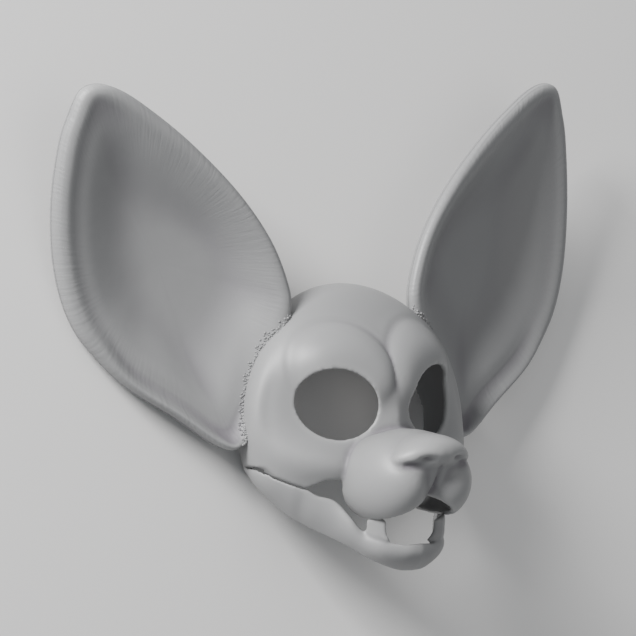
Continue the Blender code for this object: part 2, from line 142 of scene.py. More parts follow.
EAR_OUTLINE = [
    # across  up
    (0.67,   0.970),
    (0.79,   0.93),
    (0.87,   0.80),
    (0.93,   0.66),
    (0.98,   0.39),
    (0.98,   0.12),
    (0.93,   -0.12),
    (0.82,   -0.33),
    (0.65,   -0.49),
    (0.39,   -0.665),
    (-0.01,  -0.84),
    (-0.36,  -1.00),
    (-0.54,  -1.00),
    (-0.72,  -0.82),
    (-0.92,  -0.50),
    (-1.02,  -0.28),
    (-1.00,  -0.12),
    (-0.85,  0.125),
    (-0.56,  0.39),
    (-0.14,  0.66),
    (0.26,   0.86),
    (0.50,   0.95),
]

# How far the ear's front stands over its bowl, going in from the edge, in millimetres
OUTER_RIM_PROFILE = [
    # inwards  height
    (0.0,      0.0),
    (0.8,      3.2),
    (3.0,      5.8),
    (6.5,      6.9),
    (10.5,     6.6),
    (15.0,     5.2),
    (20.0,     3.2),
    (26.0,     1.4),
    (33.0,     0.4),
    (42.0,     0.0),
    (90.0,     0.0),
]
INNER_RIM_PROFILE = [
    # inwards  height
    (0.0,      0.0),
    (0.8,      3.2),
    (3.5,      6.0),
    (8.5,      7.8),
    (14.0,     8.2),
    (20.0,     7.6),
    (27.0,     5.8),
    (35.0,     3.2),
    (44.0,     1.2),
    (54.0,     0.2),
    (90.0,     0.0),
]

JAW_SECTIONS = [
    # top edge               bottom edge
    # out    drop    ahead   out     drop    ahead   bulge
    (1.000,  0.014,  0.010,  1.000,  0.043,  -0.010, 0.1),
    (0.994,  0.043,  0.143,  0.950,  0.214,  0.071,  0.4),
    (0.950,  0.093,  0.276,  0.875,  0.357,  0.163,  0.7),
    (0.838,  0.164,  0.388,  0.775,  0.500,  0.276,  0.8),
    (0.738,  0.215,  0.440,  0.713,  0.557,  0.337,  0.9),
    (0.665,  0.285,  0.485,  0.650,  0.614,  0.398,  1.0),
    (0.550,  0.335,  0.556,  0.525,  0.714,  0.536,  1.0),
    (0.469,  0.494,  0.662,  0.425,  0.800,  0.633,  1.0),
    (0.388,  0.629,  0.724,  0.338,  0.886,  0.714,  1.0),
    (0.300,  0.700,  0.857,  0.225,  0.957,  0.786,  1.2),
    (0.150,  0.743,  0.930,  0.113,  1.000,  0.825,  1.4),
    (0.000,  0.735,  0.965,  0.000,  1.010,  0.840,  1.4),
]
JAW_RINGS = 90


def smooth_spline(points, count, closed):
    """Catmull-Rom curve through the points, sampled evenly by index."""
    points = np.asarray(points, float)
    total = len(points) if closed else len(points) - 1
    places = np.linspace(0, total, count, endpoint=not closed)
    first = np.minimum(places.astype(int), total - 1)
    share = (places - first)[:, None]
    if closed:
        rows = [points[(first + shift) % len(points)] for shift in (-1, 0, 1, 2)]
    else:
        padded = np.vstack([2 * points[0] - points[1], points, 2 * points[-1] - points[-2]])
        rows = [padded[first + shift] for shift in (0, 1, 2, 3)]
    before, start, end, after = rows
    return start + 0.5 * share * (
        end - before
        + share * (2 * before - 5 * start + 4 * end - after + share * (3 * (start - end) + after - before))
    )


def smooth_step(value):
    value = np.clip(value, 0.0, 1.0)
    return value * value * (3 - 2 * value)


def smooth_max(values, softness):
    result = values[0]
    for value in values[1:]:
        share = np.clip(0.5 + 0.5 * (value - result) / softness, 0.0, 1.0)
        result = result + (value - result) * share + softness * share * (1 - share)
    return result


def unit_sphere(segments, rings):
    bm = bmesh.new()
    bmesh.ops.create_uvsphere(bm, u_segments=segments, v_segments=rings, radius=1.0)
    return bm


def vertex_array(bm):
    return np.array([vertex.co[:] for vertex in bm.verts])


def set_vertices(bm, points):
    for vertex, point in zip(bm.verts, points):
        vertex.co = point


def cut_away(bm, point, normal):
    """Removes what lies on the normal's side of a plane."""
    geometry = bm.verts[:] + bm.edges[:] + bm.faces[:]
    bmesh.ops.bisect_plane(bm, geom=geometry, plane_co=point, plane_no=normal, clear_outer=True)


def workpiece(name, bm):
    """A plain object in the mask's frame, to be finished by modifiers."""
    bmesh.ops.recalc_face_normals(bm, faces=bm.faces[:])
    mesh = bpy.data.meshes.new(name)
    bm.to_mesh(mesh)
    bm.free()
    obj = bpy.data.objects.new(name, mesh)
    bpy.context.scene.collection.objects.link(obj)
    return obj


def add_wall(obj, thickness):
    solidify = obj.modifiers.new("wall", "SOLIDIFY")
    solidify.thickness = thickness
    solidify.offset = -1.0
    solidify.use_even_offset = True


def cut_with(obj, cutter):
    boolean = obj.modifiers.new(cutter.name, "BOOLEAN")
    boolean.operation = "DIFFERENCE"
    boolean.solver = "MANIFOLD"
    boolean.object = cutter


def baked_mesh(obj):
    """The object's mesh with its modifiers applied."""
    bpy.context.view_layer.update()
    graph = bpy.context.evaluated_depsgraph_get()
    return bpy.data.meshes.new_from_object(obj.evaluated_get(graph))


def discard(*objects):
    for obj in objects:
        bpy.data.objects.remove(obj, do_unlink=True)


def fused(name, parts, grain, passes):
    """One skin round all the parts, its joins smoothed over."""
    bm = bmesh.new()
    for part in parts:
        mesh = baked_mesh(part)
        bm.from_mesh(mesh)
        bpy.data.meshes.remove(mesh)
    whole = workpiece(name, bm)
    remesh = whole.modifiers.new("skin", "REMESH")
    remesh.mode = "VOXEL"
    remesh.voxel_size = grain
    smooth = whole.modifiers.new("smooth", "SMOOTH")
    smooth.factor = 0.5
    smooth.iterations = passes
    mesh = baked_mesh(whole)
    discard(whole, *parts)
    return mesh


def mesh_points(mesh):
    points = np.empty(len(mesh.vertices) * 3)
    mesh.vertices.foreach_get("co", points)
    return points.reshape(-1, 3)


def mesh_normals(mesh):
    normals = np.empty(len(mesh.vertices) * 3)
    mesh.vertices.foreach_get("normal", normals)
    return normals.reshape(-1, 3)


def set_mesh_points(mesh, points):
    mesh.vertices.foreach_set("co", points.ravel())
    mesh.update()


def spread(mesh, values, passes):
    """Averages a value over neighbouring vertices."""
    edges = np.empty(len(mesh.edges) * 2, dtype=int)
    mesh.edges.foreach_get("vertices", edges)
    first, second = edges.reshape(-1, 2).T
    count = np.bincount(first, minlength=len(values)) + np.bincount(second, minlength=len(values))
    for _ in range(passes):
        total = np.bincount(first, values[second], len(values)) + np.bincount(second, values[first], len(values))
        values = 0.5 * values + 0.5 * total / np.maximum(count, 1)
    return values


def mark_hollows(mesh, passes):
    """Stores how hollow (above 0) or raised (below 0) each place is, for the material's painted shade in hollows
    and painted highlight on raised edges.
    """
    points = mesh_points(mesh)
    normals = mesh_normals(mesh)
    wide = np.column_stack([spread(mesh, points[:, axis].copy(), passes) for axis in range(3)])
    depth = ((wide - points) * normals).sum(axis=1) / MM
    attribute = mesh.attributes.new("hollow", "FLOAT", "POINT")
    attribute.data.foreach_set("value", spread(mesh, depth, 4).astype(np.float32))


def finish_piece(name, mesh, material, nodes):
    """Lays a mesh from the mask's frame into the model's frame and makes it stand for its CAD nodes."""
    mesh.transform(MASK_FRAME)
    mesh.shade_smooth()
    mesh.materials.clear()
    mesh.materials.append(material)
    obj = bpy.data.objects.new(name, mesh)
    bpy.context.scene.collection.objects.link(obj)
    if nodes:
        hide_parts(*nodes)
    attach(obj, "root")
    return obj


def crown_share(rise):
    reach = np.where(rise >= 0, CROWN_RISE, CHIN_DROP)
    return np.sqrt(np.maximum(1 - (rise / reach) ** 2, 1e-9))


def side_depth(rise):
    return SIDE_LINE - CROWN_SETBACK * np.clip(rise / CROWN_RISE, 0, 1) ** 2


def face_relief(x, y):
    relief = np.zeros_like(x)
    for name, out, up, across, along, turn, edge, height in FACE_STROKES:
        angle = math.radians(turn)
        right = np.abs(x) / FACE_HALF_WIDTH - out
        rise = (y - CHEEK_LINE) / FACE_HALF_WIDTH - up
        down_stroke = math.cos(angle) * right + math.sin(angle) * rise
        off_stroke = math.cos(angle) * rise - math.sin(angle) * right
        away = np.hypot(down_stroke / across, off_stroke / along)
        relief += height * np.exp(-away ** edge)
        if name == "brow":
            crease = np.exp(-((away - 1.08) / 0.085) ** 2)
            relief -= BROW_CREASE * crease * smooth_step((rise + 0.3) / 0.3)
    return relief * FACE_HALF_WIDTH


def face_points(directions, grow=0.0):
    across, rise, front = directions.T
    level = np.where(rise >= 0, CROWN_RISE, CHIN_DROP) * rise
    ring = np.sqrt(np.maximum(1 - rise ** 2, 1e-12))
    share = crown_share(level)
    x = (FACE_HALF_WIDTH * share + grow) * across / ring
    y = CHEEK_LINE + level + grow * rise
    depth = np.where(front >= 0, FACE_FRONT, FACE_BACK)
    z = side_depth(level) + (depth * share + grow) * front / ring
    z = z + face_relief(x, y) * smooth_step(front / ring * 2.2)
    return np.column_stack([x, y, z])


def face_depth(x, y):
    rise = y - CHEEK_LINE
    share = crown_share(rise)
    inside = np.sqrt(np.maximum(share ** 2 - (x / FACE_HALF_WIDTH) ** 2, 1e-6))
    return side_depth(rise) + FACE_FRONT * inside + face_relief(x, y) * smooth_step(inside / share * 2.2)


def rest_matrix(level, depth):
    turn = Matrix.Rotation(-REST_TILT, 4, "X")
    height = RIM_LEVEL - level * math.tan(REST_TILT)
    return Matrix.Translation((0, level, height)) @ turn @ Matrix.Translation((0, 0, -depth))


def rest_block():
    reach = 4 * FACE_HALF_WIDTH
    bm = bmesh.new()
    bmesh.ops.create_cube(bm, size=reach)
    bmesh.ops.transform(bm, verts=bm.verts, matrix=rest_matrix(0, reach / 2))
    return workpiece("rest_block", bm)


def temple_scoop():
    bm = bmesh.new()
    bmesh.ops.create_cone(bm, cap_ends=True, segments=64, radius1=1, radius2=1, depth=1)
    size = Matrix.Diagonal((2 * TEMPLE_RISE, TEMPLE_HALF_LENGTH, 4 * FACE_HALF_WIDTH, 1))
    crosswise = Matrix.Rotation(math.radians(90), 4, "Y")
    place = rest_matrix(TEMPLE_LEVEL, TEMPLE_RISE)
    bmesh.ops.transform(bm, verts=bm.verts, matrix=place @ crosswise @ size)
    return workpiece("temple_scoop", bm)


def eye_punch(side):
    bm = bmesh.new()
    bmesh.ops.create_cone(bm, cap_ends=True, segments=96, radius1=1, radius2=1, depth=1)
    bmesh.ops.transform(bm, verts=bm.verts, matrix=Matrix.Diagonal((EYE_HALF_WIDTH, EYE_HALF_HEIGHT, 0.07, 1)))
    turn = Matrix.Rotation(side * EYE_TURN, 4, "Y") @ Matrix.Rotation(side * EYE_ROLL, 4, "Z")
    middle = face_depth(np.array([EYE_OUT]), np.array([EYE_LEVEL]))[0]
    place = Matrix.Translation((side * EYE_OUT, EYE_LEVEL, middle))
    bmesh.ops.transform(bm, verts=bm.verts, matrix=place @ turn)
    return workpiece("eye_punch", bm)


def jaw_sections(rings):
    size = np.array([JAW_HALF_WIDTH, -JAW_DROP, JAW_REACH])
    base = np.array([0, JAW_LEVEL, JAW_REAR])
    rows = smooth_spline(JAW_SECTIONS, rings, False)
    return rows[:, 0:3] * size + base, rows[:, 3:6] * size + base, rows[:, 6] * JAW_BULGE


def seam_points():
    """The left half of the face's lower edge: over the mouth, then along the jaw's top to its rear tip."""
    tops = jaw_sections(JAW_RINGS)[0][::-1]
    along_jaw = (tops[:, 0] > MOUTH_CORNER_OUT) & (tops[:, 0] < JAW_HALF_WIDTH - JAW_WALL)
    along_jaw[-1] = True
    return np.vstack([(MOUTH_TOP_OUT, MOUTH_TOP), tops[along_jaw, :2]])


def seam_level(x):
    return np.interp(np.abs(x), *seam_points().T)


def upright_block(name, outline, low, high):
    """A prism with the given outline across and up the face, from one depth to another."""
    bm = bmesh.new()
    bm.faces.new([bm.verts.new((x, y, low)) for x, y in outline])
    block = workpiece(name, bm)
    turned_back = block.data.polygons[0].normal.z < 0
    add_wall(block, high - low)
    block.modifiers["wall"].offset = -1 if turned_back else 1
    return block


def mouth_block():
    reach = 2 * FACE_HALF_WIDTH
    points = seam_points()
    edge = np.vstack([points, (reach, points[-1, 1]), (reach, CHEEK_LINE - reach)])
    outline = np.vstack([edge[::-1] * (-1, 1), edge])
    return upright_block("mouth_block", outline[::-1], -reach, reach)


def ellipsoid_reach(directions, start, centre, radii):
    offset = (start - centre) / radii
    scaled = directions / radii
    square = (scaled ** 2).sum(axis=1)
    mixed = scaled @ offset
    rest = offset @ offset - 1
    return (-mixed + np.sqrt(np.maximum(mixed ** 2 - square * rest, 0))) / square


def muzzle_points(directions, grow=0.0):
    reaches = []
    for _name, *shares in MUZZLE_FORMS:
        centre = MUZZLE_MIDDLE + MUZZLE_HALF * np.array(shares[:3])
        reaches.append(ellipsoid_reach(directions, MUZZLE_MIDDLE, centre, MUZZLE_HALF * np.array(shares[3:])))
    return MUZZLE_MIDDLE + directions * (smooth_max(reaches, MUZZLE_BLEND) + grow)[:, None]


def muzzle_volume(grow):
    bm = unit_sphere(96, 64)
    set_vertices(bm, muzzle_points(vertex_array(bm), grow))
    return workpiece("muzzle_volume", bm)


def lip_level(x):
    return LIP_LEVEL - LIP_FALL * (np.hypot(x, LIP_ROUNDING) - LIP_ROUNDING)


def lip_block():
    reach = 1.5 * MUZZLE_HALF[0]
    outline = [(x, lip_level(x)) for x in np.linspace(-reach, reach, 48)]
    outline += [(reach, MUZZLE_MIDDLE[1] - 2 * reach), (-reach, MUZZLE_MIDDLE[1] - 2 * reach)]
    return upright_block("lip_block", outline, 0, MUZZLE_MIDDLE[2] + reach)


def face_volume(grow):
    bm = unit_sphere(200, 130)
    set_vertices(bm, face_points(vertex_array(bm), grow))
    return workpiece("face_volume", bm)


def face_wall():
    face, hollow = (face_volume(grow) for grow in (0, -FACE_WALL))
    cutters = [hollow, rest_block(), temple_scoop(), eye_punch(-1), eye_punch(1), mouth_block()]
    cutters.append(muzzle_volume(-MUZZLE_WALL - 0.8 * MM))
    for index, cutter in enumerate(cutters):
        cutter.name = f"cutter_{index}"
        cut_with(face, cutter)
    return face, cutters


def muzzle_wall():
    bm = unit_sphere(150, 100)
    set_vertices(bm, muzzle_points(vertex_array(bm)))
    cut_away(bm, (0, MUZZLE_MIDDLE[1], MUZZLE_BACK), (0, 0, -1))
    muzzle = workpiece("muzzle_wall", bm)
    add_wall(muzzle, MUZZLE_WALL)
    lip = lip_block()
    seat = face_volume(-0.6 * FACE_WALL)
    for name, cutter in (("lip", lip), ("seat", seat)):
        cutter.name = name
        cut_with(muzzle, cutter)
    return muzzle, [lip, seat]


def nose_form():
    bm = unit_sphere(96, 64)
    across, rise, front = vertex_array(bm).T
    squared = (np.abs(rise) ** 2.6 + np.abs(front) ** 2.6) ** (1 / 2.6)
    ring = np.hypot(rise, front)
    swell = np.where(ring > 1e-6, ring / np.maximum(squared, 1e-6), 1)
    x = across * NOSE_HALF[0]
    y = rise * swell * NOSE_HALF[1] - 5.5 * MM * across ** 2
    z = front * swell * NOSE_HALF[2] - 5 * MM * np.clip(-rise, 0, 1) * (front > 0)
    set_vertices(bm, np.column_stack([x, y, z]) + NOSE_MIDDLE)
    return workpiece("nose_form", bm)


def push(points, normals, middle, radii, height, edge=2.0):
    """Raises or sinks the surface round a place."""
    away = np.linalg.norm((points - np.array(middle) * MM) / (np.array(radii) * MM), axis=1)
    return points + normals * (height * MM * np.exp(-away ** edge))[:, None]


def make_head(material):
    """Face, muzzle and nose in one skin, as they are cast, with the carving done afterwards."""
    face, face_cutters = face_wall()
    muzzle, muzzle_cutters = muzzle_wall()
    nose = nose_form()
    mesh = fused("head", [face, muzzle, nose], 1.25 * MM, 5)
    discard(*face_cutters, *muzzle_cutters)
    points = mesh_points(mesh)
    normals = mesh_normals(mesh)
    for side in (-1, 1):
        points = push(points, normals, (side * 13.5, -86, 139), (6, 3.2, 7), -4.2)
        points = push(points, normals, (side * 21, -89, 131), (9, 2.6, 8), -2.4)
    points = push(points, normals, (0, -104, 131), (1.8, 14, 14), -2.8)
    set_mesh_points(mesh, points)
    mark_hollows(mesh, 40)
    return finish_piece("head", mesh, material, ("face_shell", "muzzle", "nose_pad"))


def ear_plane_depth(x, y):
    bow = EAR_BOW * ((y - EAR_LEVEL) / EAR_HALF_HEIGHT) ** 2
    return EAR_PLANE - EAR_LEAN * (x - EAR_OUT) + bow


def ear_outline():
    """The outline's points, evenly spaced, and how far round it each one is."""
    size = np.array([EAR_HALF_WIDTH, EAR_HALF_HEIGHT]) * EAR_TRIM
    outline = smooth_spline(EAR_OUTLINE, 720, True) * size
    loop = np.vstack([outline, outline[:1]])
    passed = np.concatenate([[0], np.cumsum(np.hypot(*np.diff(loop, axis=0).T))])
    places = np.linspace(0, passed[-1], 481)[:-1]
    return np.column_stack([np.interp(places, passed, loop[:, axis]) for axis in (0, 1)])


def profile_height(profile, inwards):
    rows = smooth_spline(profile, 400, False)
    return np.interp(inwards / MM, rows[:, 0], rows[:, 1]) * MM


def soften_bowl(mesh, inwards):
    """Smooths the cup where the slopes of its rims would meet in a crease."""
    points = mesh_points(mesh)
    level = points[:, 2].copy()
    share = smooth_step((inwards - 6 * MM) / (10 * MM))
    points[:, 2] += share * (spread(mesh, level, 70) - level)
    set_mesh_points(mesh, points)


def seam_tree():
    """Sets small bumps on a skin wherever it comes close to another object."""
    tree = bpy.data.node_groups.new("seam_bumps", "GeometryNodeTree")
    face = tree.interface
    face.new_socket(name="Geometry", in_out="INPUT", socket_type="NodeSocketGeometry")
    for label, kind, value in (
        ("Neighbour", "NodeSocketObject", None),
        ("Reach", "NodeSocketFloat", 2.4 * MM),
        ("Density", "NodeSocketFloat", 700000.0),
        ("Radius", "NodeSocketFloat", 0.85 * MM),
        ("Seed", "NodeSocketInt", 4),
        ("Material", "NodeSocketMaterial", None),
    ):
        socket = face.new_socket(name=label, in_out="INPUT", socket_type=kind)
        if value is not None:
            socket.default_value = value
    face.new_socket(name="Geometry", in_out="OUTPUT", socket_type="NodeSocketGeometry")
    nodes, links = tree.nodes, tree.links
    given, result = nodes.new("NodeGroupInput"), nodes.new("NodeGroupOutput")
    info = nodes.new("GeometryNodeObjectInfo")
    links.new(given.outputs["Neighbour"], info.inputs["Object"])
    near = nodes.new("GeometryNodeProximity")
    near.target_element = "FACES"
    links.new(info.outputs["Geometry"], near.inputs[0])
    close = nodes.new("FunctionNodeCompare")
    close.data_type = "FLOAT"
    close.operation = "LESS_THAN"
    links.new(near.outputs["Distance"], close.inputs[0])
    links.new(given.outputs["Reach"], close.inputs[1])
    normal = nodes.new("GeometryNodeInputNormal")
    parts = nodes.new("ShaderNodeSeparateXYZ")
    links.new(normal.outputs["Normal"], parts.inputs["Vector"])
    facing = nodes.new("FunctionNodeCompare")
    facing.data_type = "FLOAT"
    facing.operation = "GREATER_THAN"
    links.new(parts.outputs["Z"], facing.inputs[0])
    facing.inputs[1].default_value = 0.25
    both = nodes.new("FunctionNodeBooleanMath")
    links.new(close.outputs["Result"], both.inputs[0])
    links.new(facing.outputs["Result"], both.inputs[1])
    points = nodes.new("GeometryNodeDistributePointsOnFaces")
    links.new(given.outputs["Geometry"], points.inputs["Mesh"])
    links.new(both.outputs["Boolean"], points.inputs["Selection"])
    links.new(given.outputs["Density"], points.inputs["Density"])
    links.new(given.outputs["Seed"], points.inputs["Seed"])
    bump = nodes.new("GeometryNodeMeshIcoSphere")
    bump.inputs["Subdivisions"].default_value = 2
    links.new(given.outputs["Radius"], bump.inputs["Radius"])
    size = nodes.new("FunctionNodeRandomValue")
    size.data_type = "FLOAT"
    size.inputs[2].default_value = 0.5
    size.inputs[3].default_value = 1.2
    links.new(given.outputs["Seed"], size.inputs["Seed"])
    bumps = nodes.new("GeometryNodeInstanceOnPoints")
    links.new(points.outputs["Points"], bumps.inputs["Points"])
    links.new(bump.outputs["Mesh"], bumps.inputs["Instance"])
    links.new(points.outputs["Rotation"], bumps.inputs["Rotation"])
    links.new(size.outputs[1], bumps.inputs["Scale"])
    real = nodes.new("GeometryNodeRealizeInstances")
    links.new(bumps.outputs["Instances"], real.inputs["Geometry"])
    dressed = nodes.new("GeometryNodeSetMaterial")
    links.new(real.outputs["Geometry"], dressed.inputs["Geometry"])
    links.new(given.outputs["Material"], dressed.inputs["Material"])
    links.new(dressed.outputs["Geometry"], result.inputs["Geometry"])
    return tree


def make_seam(ear, head, material):
    """The rough little bumps where an ear joins the face."""
    carrier = bpy.data.objects.new("carrier", ear.data.copy())
    bpy.context.scene.collection.objects.link(carrier)
    modifier = carrier.modifiers.new("seam", "NODES")
    modifier.node_group = SEAM_BUMPS
    values = {"Neighbour": head, "Material": material}
    for item in SEAM_BUMPS.interface.items_tree:
        if item.in_out == "INPUT" and item.name in values:
            modifier[item.identifier] = values[item.name]
    mesh = baked_mesh(carrier)
    discard(carrier)
    mesh.shade_smooth()
    obj = bpy.data.objects.new(f"{ear.name}_seam", mesh)
    bpy.context.scene.collection.objects.link(obj)
    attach(obj, "root")


def make_ear(side, material):
    outline = ear_outline()
    bm = unit_sphere(240, 150)
    directions = vertex_array(bm)
    turn = np.arctan2(directions[:, 1], directions[:, 0]) / (2 * math.pi) % 1
    place = (1 - turn) % 1
    wrapped = np.vstack([outline, outline[:1]])
    steps = np.linspace(0, 1, len(wrapped))
    edge_points = np.column_stack([np.interp(place, steps, wrapped[:, axis]) for axis in (0, 1)])
    ring = np.hypot(directions[:, 0], directions[:, 1])
    share = np.sin(np.arcsin(np.clip(ring, 0, 1)) * 0.999)
    flat = edge_points * share[:, None]
    inwards = np.full(len(flat), 1.0)
    for start in range(0, len(flat), 4000):
        block = flat[start:start + 4000]
        gaps = np.linalg.norm(block[:, None, :] - outline[None, :, :], axis=2)
        inwards[start:start + 4000] = gaps.min(axis=1)
    inwards = np.where(share > 0.9985, 0, inwards)
    outer = smooth_step(0.5 + (flat[:, 0] - flat[:, 1] * 0.38 + 6 * MM) / (50 * MM))
    narrowed = inwards * (1 + 1.8 * smooth_step(-flat[:, 1] / EAR_HALF_HEIGHT / 0.5 - 0.6))
    rim = outer * profile_height(OUTER_RIM_PROFILE, narrowed)
    rim += (1 - outer) * profile_height(INNER_RIM_PROFILE, narrowed)
    reach = np.hypot(*edge_points.T)
    slope_reach = (0.64 + 0.18 * edge_points[:, 0] / reach) * reach
    bowl = EAR_CUP * smooth_step((reach * (1 - share) - 0.3 * EAR_EDGE_RADIUS) / slope_reach)
    x = EAR_OUT + flat[:, 0]
    y = EAR_LEVEL + flat[:, 1]
    plane = ear_plane_depth(x, y)
    edge = EAR_EDGE_RADIUS
    round_under = np.sqrt(np.clip(1 - (1 - inwards / edge) ** 2, 0, 1)) * edge
    round_under = np.where(inwards < edge, round_under, edge)
    thin = (2 * edge - EAR_WALL) * smooth_step((inwards - edge) / (2.5 * edge))
    back = plane - round_under - bowl + thin
    front = np.maximum(plane + rim - bowl, back + np.minimum(EAR_WALL, inwards))
    z = np.where(directions[:, 2] >= 0, front, back)
    set_vertices(bm, np.column_stack([side * x, y, z]))
    uv = np.column_stack([place, inwards])
    layer = bm.loops.layers.uv.new("rim")
    bm.verts.index_update()
    for bm_face in bm.faces:
        around = [uv[loop.vert.index][0] for loop in bm_face.loops]
        wraps = max(around) - min(around) > 0.5
        for loop in bm_face.loops:
            u, v = uv[loop.vert.index]
            loop[layer].uv = (u + 1 if wraps and u < 0.5 else u, v)
    obj = workpiece("ear", bm)
    soften_bowl(obj.data, inwards)
    inside_face = face_volume(-0.6 * FACE_WALL)
    cut_with(obj, inside_face)
    mesh = baked_mesh(obj)
    discard(obj, inside_face)
    mark_hollows(mesh, 30)
    name = "ear_left" if side > 0 else "ear_right"
    return finish_piece(f"{name}_cup", mesh, material, (name,))


def jaw_wall():
    tops, bottoms, bulges = jaw_sections(JAW_RINGS)
    along = np.gradient((tops + bottoms) / 2, axis=0) * np.array([1, 0, 1])
    along[-1] = (-1, 0, 0)
    along /= np.linalg.norm(along, axis=1)[:, None]
    outwards = np.column_stack([along[:, 2], np.zeros(len(along)), -along[:, 0]])
    heights = np.linspace(0, 1, 25)
    bm = bmesh.new()
    loops = []
    for top, bottom, bulge, outward in zip(tops, bottoms, bulges, outwards):
        outer = [top + (bottom - top) * h + outward * bulge * 4 * h * (1 - h) for h in heights]
        inner = [point - outward * JAW_WALL for point in outer[::-1]]
        loop = np.array(outer + inner)
        loop[:, 0] = np.maximum(loop[:, 0], 0)
        loop[:, 1] = np.minimum(loop[:, 1], seam_level(loop[:, 0]) - 0.9 * MM)
        loops.append([bm.verts.new(point) for point in loop])
    for first, second in zip(loops, loops[1:]):
        for i in range(len(first)):
            j = (i + 1) % len(first)
            bm.faces.new((first[i], first[j], second[j], second[i]))
    bm.faces.new(loops[0][::-1])
    jaw = workpiece("jaw_wall", bm)
    mirror = jaw.modifiers.new("both_sides", "MIRROR")
    mirror.use_clip = True
    mirror.merge_threshold = 0.0001
    return jaw


def fang_form(side, broad, spread_in):
    """A fang whose inner side is broader and whose root flares along the jaw towards the middle."""
    tops = jaw_sections(JAW_RINGS)[0][::-1]
    bm = unit_sphere(48, 32)
    across, rise, front = vertex_array(bm).T
    level = 0.5 + np.arcsin(np.clip(rise, -1, 1)) / math.pi
    ring = np.sqrt(np.maximum(1 - rise ** 2, 1e-9))
    full = np.minimum(1, 1.6 * ring)
    root = np.clip(1 - level / 0.55, 0, 1) ** 2
    half = FANG_RADIUS * (0.7 + 0.5 * root) * np.where(across < 0, broad, 1)
    out = FANG_OUT + across / ring * full * half - root * spread_in * (across < 0)
    beside = np.maximum(out, FANG_OUT - 7 * MM)
    foot_y = np.interp(out, tops[:, 0], tops[:, 1])
    foot_z = np.interp(beside, tops[:, 0], tops[:, 2])
    base = foot_y - 3 * MM
    tip = lip_level(FANG_OUT + 0.7 * FANG_RADIUS) + 4 * MM
    y = base + (tip - base) * level
    z = foot_z - JAW_WALL / 2 + front / ring * full * (0.62 + 0.1 * root) * FANG_RADIUS + (y - base) * 0.12
    set_vertices(bm, np.column_stack([side * out, y, z]))
    return workpiece("fang_form", bm)


def make_jaw(material):
    mesh = fused("jaw", [jaw_wall(), fang_form(-1, 1, 4 * MM), fang_form(1, 3.4, 5 * MM)], 0.9 * MM, 4)
    mark_hollows(mesh, 30)
    return finish_piece("jaw_with_fangs", mesh, material, ("jaw", "fang_left", "fang_right"))


def group_with(name, inputs, outputs):
    group = bpy.data.node_groups.new(name, "ShaderNodeTree")
    for label, kind, value in inputs:
        socket = group.interface.new_socket(name=label, in_out="INPUT", socket_type=kind)
        socket.default_value = value
    for label, kind in outputs:
        group.interface.new_socket(name=label, in_out="OUTPUT", socket_type=kind)
    return group, group.nodes.new("NodeGroupInput"), group.nodes.new("NodeGroupOutput")


def math_node(group, operation, first, second):
    node = group.nodes.new("ShaderNodeMath")
    node.operation = operation
    for socket, value in zip(node.inputs, (first, second)):
        if isinstance(value, (int, float)):
            socket.default_value = value
        else:
            group.links.new(value, socket)
    return node.outputs["Value"]


def mix_colour(group, factor, first, second):
    node = group.nodes.new("ShaderNodeMix")
    node.data_type = "RGBA"
    group.links.new(factor, node.inputs["Factor"])
    for index, value in ((6, first), (7, second)):
        if isinstance(value, tuple):
            node.inputs[index].default_value = value
        else:
            group.links.new(value, node.inputs[index])
    return node.outputs[2]


def clay_shade_group():
    """Grey with painted shade that darkens and cools it in hollows, a painted highlight that pales it on raised
    edges, and a soft random mottle.
    """
    group, given, result = group_with(
        "clay_shade",
        [
            ("Body", "NodeSocketColor", (0.3, 0.3, 0.3, 1)),
            # painted shade colour for hollows
            ("Hollows", "NodeSocketColor", (0.2, 0.19, 0.2, 1)),
            # painted highlight colour for raised edges
            ("Edges", "NodeSocketColor", (0.4, 0.4, 0.4, 1)),
            ("Mottle", "NodeSocketFloat", 0.04),
        ],
        [("Color", "NodeSocketColor"), ("Roughness", "NodeSocketFloat")],
    )
    links = group.links
    hollow = group.nodes.new("ShaderNodeAttribute")
    hollow.attribute_name = "hollow"
    depth = hollow.outputs["Fac"]
    # painted shade: the deeper the hollow, the more the grey mixes towards the darker, cooler colour
    low = group.nodes.new("ShaderNodeMapRange")
    links.new(depth, low.inputs["Value"])
    low.inputs["From Min"].default_value = 0.05
    low.inputs["From Max"].default_value = 0.9
    # painted highlight: the more raised the place, the more the grey mixes towards the paler colour
    high = group.nodes.new("ShaderNodeMapRange")
    links.new(depth, high.inputs["Value"])
    high.inputs["From Min"].default_value = -0.1
    high.inputs["From Max"].default_value = -1.1
    # mix in the painted shade of the hollows, then the painted highlight of the raised edges
    sunk = mix_colour(group, low.outputs["Result"], given.outputs["Body"], given.outputs["Hollows"])
    raised = mix_colour(group, high.outputs["Result"], sunk, given.outputs["Edges"])
    place = group.nodes.new("ShaderNodeTexCoord")
    noise = group.nodes.new("ShaderNodeTexNoise")
    noise.inputs["Scale"].default_value = 26
    noise.inputs["Detail"].default_value = 4
    links.new(place.outputs["Object"], noise.inputs["Vector"])
    centred = math_node(group, "SUBTRACT", noise.outputs["Fac"], 0.5)
    scaled = math_node(group, "MULTIPLY", centred, given.outputs["Mottle"])
    value = math_node(group, "ADD", scaled, 1.0)
    tone = group.nodes.new("ShaderNodeHueSaturation")
    links.new(raised, tone.inputs["Color"])
    links.new(value, tone.inputs["Value"])
    links.new(tone.outputs["Color"], result.inputs["Color"])
    rough = math_node(group, "MULTIPLY", low.outputs["Result"], 0.12)
    wander = math_node(group, "MULTIPLY", centred, 0.12)
    total = math_node(group, "ADD", rough, wander)
    links.new(math_node(group, "ADD", total, 0.46), result.inputs["Roughness"])
    return group


